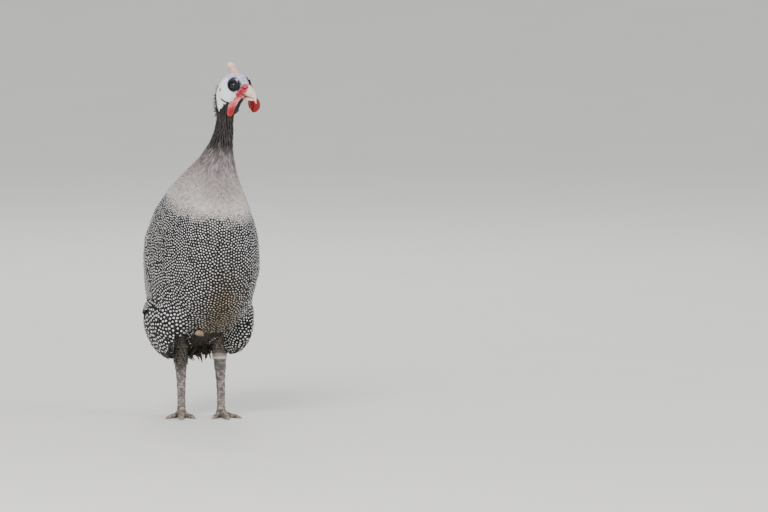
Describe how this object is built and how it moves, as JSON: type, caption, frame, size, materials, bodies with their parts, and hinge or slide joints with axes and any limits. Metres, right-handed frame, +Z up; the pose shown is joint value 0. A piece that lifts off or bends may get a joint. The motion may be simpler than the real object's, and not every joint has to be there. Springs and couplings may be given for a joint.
{
  "type": "helmeted guinea fowl, pearl-grey, standing",
  "caption": "Life-size standing helmeted guinea fowl with pearl-spotted grey plumage, bare white face, bony helmet and red wattles.",
  "frame": {"origin": "bottom centre of the bounding box, on the floor under the bird", "axes": "+Z up, -Y the way the body faces, +X to the bird's left"},
  "size_m": [0.1376, 0.261, 0.4718],
  "materials": {
    "plumage": "matte dark grey body feathers, each with rows of small round white dots",
    "neck_plumage": "soft matte hackles, black at the top, lavender brown-grey below",
    "flight_plumage": "satin dark grey vanes with white bars and dots",
    "bare_skin": "smooth matte skin, bluish white, darker blue-grey round the eye and crown",
    "wattle": "soft, slightly moist, finely wrinkled red skin",
    "horn": "dry horn, pinkish tan",
    "bill": "smooth horn, cream with a pink-brown base",
    "eye": "wet gloss, dark brown iris",
    "leg_scale": "matte overlapping scutes, dark grey-brown mottled with pinkish grey",
    "claw": "worn dark horn",
    "band": "smooth pale grey, plain, unmarked"
  },
  "bodies": {
    "root": {"torso": "plumage", "neck": "neck_plumage", "head": "bare_skin", "helmet": "horn", "bill_upper": "bill", "bill_lower": "bill", "wattle_right": "wattle", "wattle_left": "wattle", "tail": "flight_plumage", "eye_left": "eye", "wing_left": "flight_plumage", "thigh_left": "plumage", "shank_left": "leg_scale", "foot_left": "leg_scale", "claw_left_middle": "claw", "claw_left_inner": "claw", "claw_left_outer": "claw", "claw_left_hind": "claw", "eye_right": "eye", "wing_right": "flight_plumage", "thigh_right": "plumage", "shank_right": "leg_scale", "foot_right": "leg_scale", "claw_right_middle": "claw", "claw_right_inner": "claw", "claw_right_outer": "claw", "claw_right_hind": "claw", "leg_band": "band"}
  },
  "joints": []
}
